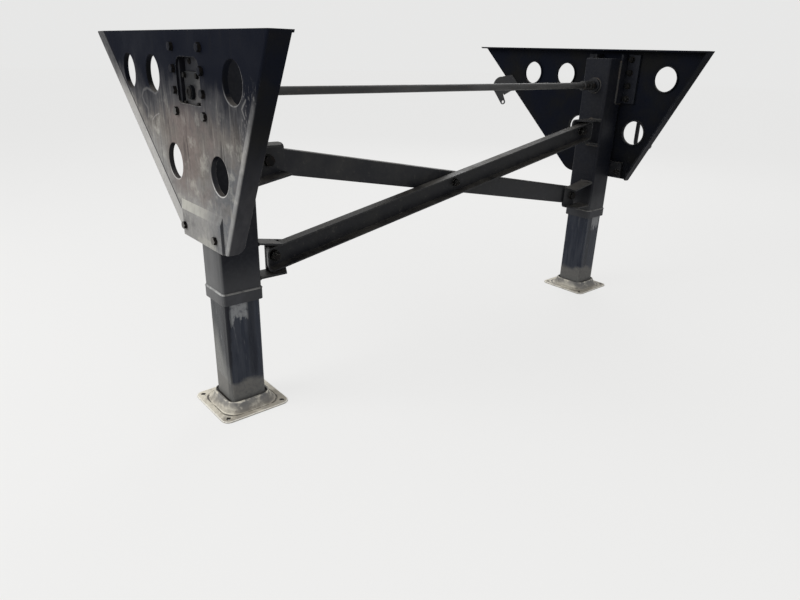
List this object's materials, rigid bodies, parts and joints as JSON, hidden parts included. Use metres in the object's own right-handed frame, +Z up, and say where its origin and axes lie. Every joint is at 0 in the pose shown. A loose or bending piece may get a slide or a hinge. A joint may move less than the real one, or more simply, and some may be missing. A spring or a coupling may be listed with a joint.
{
  "type": "semi-trailer landing gear",
  "caption": "Landing gear of a semi trailer: telescopic legs with shoes on wing plates, X-brace, cross shaft, folding crank.",
  "frame": {"origin": "midway between the legs, in the plane that bolts up under the chassis", "axes": "+X forward along the trailer, +Y to the left (road side, crank side), +Z up; the ground is 1.120 m below the origin"},
  "size_m": [1.232, 2.486, 1.12],
  "materials": {
    "dark_steel": "dull dark steel",
    "frame_paint": "dark satin paint, worn",
    "grip_plastic": "matt black plastic sleeve",
    "inner_tube_steel": "greasy dark paint, scuffed",
    "plain_steel": "worn steel",
    "shoe_metal": "pressed steel under tan dust",
    "wing_paint": "chalky, scuffed black paint with dust"
  },
  "bodies": {
    "gear_frame": {"brace_spacer": "frame_paint", "front_brace": "frame_paint", "left_eye_bracket": "frame_paint", "left_gearbox": "frame_paint", "left_inner_tube": "inner_tube_steel", "left_leg_cap": "frame_paint", "left_lower_brace_bracket": "frame_paint", "left_lower_strap": "frame_paint", "left_mount_angles": "frame_paint", "left_outer_tube": "frame_paint", "left_shaft_boss": "frame_paint", "left_shoe": "shoe_metal", "left_tube_collar": "frame_paint", "left_upper_brace_bracket": "frame_paint", "left_wing_plate": "wing_paint", "rear_brace": "frame_paint", "right_gear_cover": "frame_paint", "right_inner_tube": "inner_tube_steel", "right_leg_cap": "frame_paint", "right_lower_brace_bracket": "frame_paint", "right_lower_strap": "frame_paint", "right_mount_angles": "frame_paint", "right_outer_tube": "frame_paint", "right_shaft_boss": "frame_paint", "right_shoe": "shoe_metal", "right_tube_collar": "frame_paint", "right_upper_brace_bracket": "frame_paint", "right_wing_plate": "wing_paint"},
    "cross_shaft": {"cross_shaft": "dark_steel", "right_shaft_coupling": "dark_steel", "left_shaft_coupling": "dark_steel"},
    "crank_shaft": {"crank_input_shaft": "plain_steel"},
    "crank": {"crank_fork": "frame_paint", "crank_fold_pin": "plain_steel", "crank_rod": "frame_paint", "crank_grip": "grip_plastic"}
  },
  "joints": [
    {"name": "cross_shaft_turn", "type": "hinge", "parent": "gear_frame", "child": "cross_shaft", "pos_m": [0, 0, -0.153], "axis": [0, 1, 0], "continuous": true},
    {"name": "crank_turn", "type": "hinge", "parent": "gear_frame", "child": "crank_shaft", "pos_m": [0, 1.1375, -0.114], "axis": [0, 1, 0], "continuous": true},
    {"name": "crank_fold", "type": "hinge", "parent": "crank_shaft", "child": "crank", "pos_m": [0, 1.1375, -0.114], "axis": [0, 0, 1], "range_deg": [0, 90]}
  ],
  "couplings": [
    {"joint": "cross_shaft_turn", "follows": "crank_turn", "ratio": -1}
  ]
}
